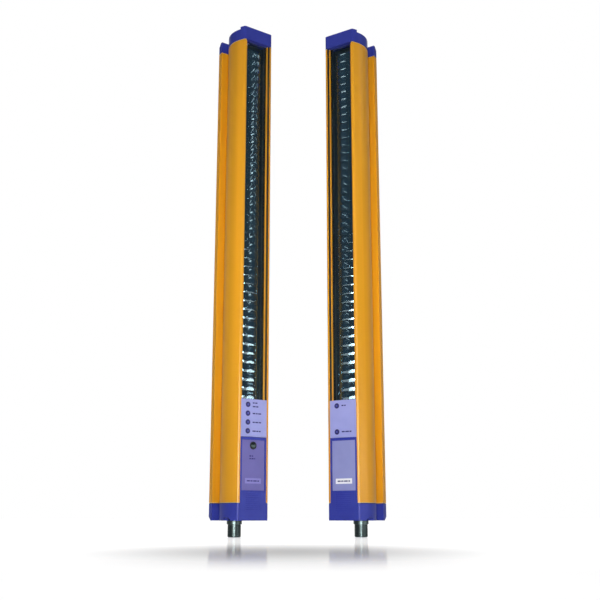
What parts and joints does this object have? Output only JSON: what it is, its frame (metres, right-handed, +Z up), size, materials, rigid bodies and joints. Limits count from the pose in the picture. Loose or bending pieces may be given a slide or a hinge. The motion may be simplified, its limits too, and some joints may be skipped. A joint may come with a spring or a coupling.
{
  "type": "safety light curtain",
  "caption": "Safety light curtain pair: yellow extruded receiver and emitter bars with blue end caps, dark lens windows, indicator panels and round plugs underneath.",
  "frame": {"origin": "on the floor under the middle of the pair's box, at the height of the plugs' tips", "axes": "+Z up along the bars, +X from the receiver to the emitter, +Y away from the side where the windows show"},
  "size_m": [0.1862, 0.0702, 0.567],
  "materials": {
    "yellow_paint": "satin powder coat",
    "blue_plastic": "moulded, satin",
    "black_rubber": "matte",
    "zinc_steel": "zinc plated",
    "dark_window": "tinted, polished",
    "clear_lens": "polished acrylic",
    "black_plastic": "matte",
    "green_board": "lacquered",
    "diode_plastic": "polished",
    "lavender_plastic": "fine satin",
    "indicator_plastic": "polished",
    "violet_label": "satin film",
    "lavender_label": "satin film",
    "dark_chrome": "dark nickel",
    "nickel_nut": "nickel plated",
    "gold_contact": "gold plated",
    "brass_post": "turned"
  },
  "bodies": {
    "root": {"emitter_beam_board": "green_board", "emitter_beam_diodes": "diode_plastic", "emitter_board_posts": "brass_post", "emitter_board_screws": "zinc_steel", "emitter_bottom_cap": "blue_plastic", "emitter_bottom_gasket": "black_rubber", "emitter_bottom_screws": "zinc_steel", "emitter_connector_insert": "black_plastic", "emitter_connector_nut": "nickel_nut", "emitter_connector_pins": "gold_contact", "emitter_connector_ring": "black_rubber", "emitter_connector_shell": "dark_chrome", "emitter_control_board": "green_board", "emitter_control_chips": "black_plastic", "emitter_housing": "yellow_paint", "emitter_indicator_lenses": "indicator_plastic", "emitter_indicator_panel": "lavender_plastic", "emitter_label_plate": "lavender_label", "emitter_lens_strip_lower": "clear_lens", "emitter_lens_strip_middle": "clear_lens", "emitter_lens_strip_upper": "clear_lens", "emitter_optic_carrier": "black_plastic", "emitter_top_cap": "blue_plastic", "emitter_top_gasket": "black_rubber", "emitter_top_screws": "zinc_steel", "emitter_window": "dark_window", "emitter_window_seals": "black_rubber", "receiver_beam_board": "green_board", "receiver_beam_diodes": "diode_plastic", "receiver_board_posts": "brass_post", "receiver_board_screws": "zinc_steel", "receiver_bottom_cap": "blue_plastic", "receiver_bottom_gasket": "black_rubber", "receiver_bottom_screws": "zinc_steel", "receiver_connector_insert": "black_plastic", "receiver_connector_nut": "nickel_nut", "receiver_connector_pins": "gold_contact", "receiver_connector_ring": "black_rubber", "receiver_connector_shell": "dark_chrome", "receiver_control_board": "green_board", "receiver_control_chips": "black_plastic", "receiver_housing": "yellow_paint", "receiver_indicator_lenses": "indicator_plastic", "receiver_indicator_panel": "lavender_plastic", "receiver_label_plate": "violet_label", "receiver_lens_strip_lower": "clear_lens", "receiver_lens_strip_middle": "clear_lens", "receiver_lens_strip_upper": "clear_lens", "receiver_optic_carrier": "black_plastic", "receiver_sealing_ring": "black_rubber", "receiver_sealing_screw": "dark_chrome", "receiver_top_cap": "blue_plastic", "receiver_top_gasket": "black_rubber", "receiver_top_screws": "zinc_steel", "receiver_window": "dark_window", "receiver_window_seals": "black_rubber"}
  },
  "joints": []
}
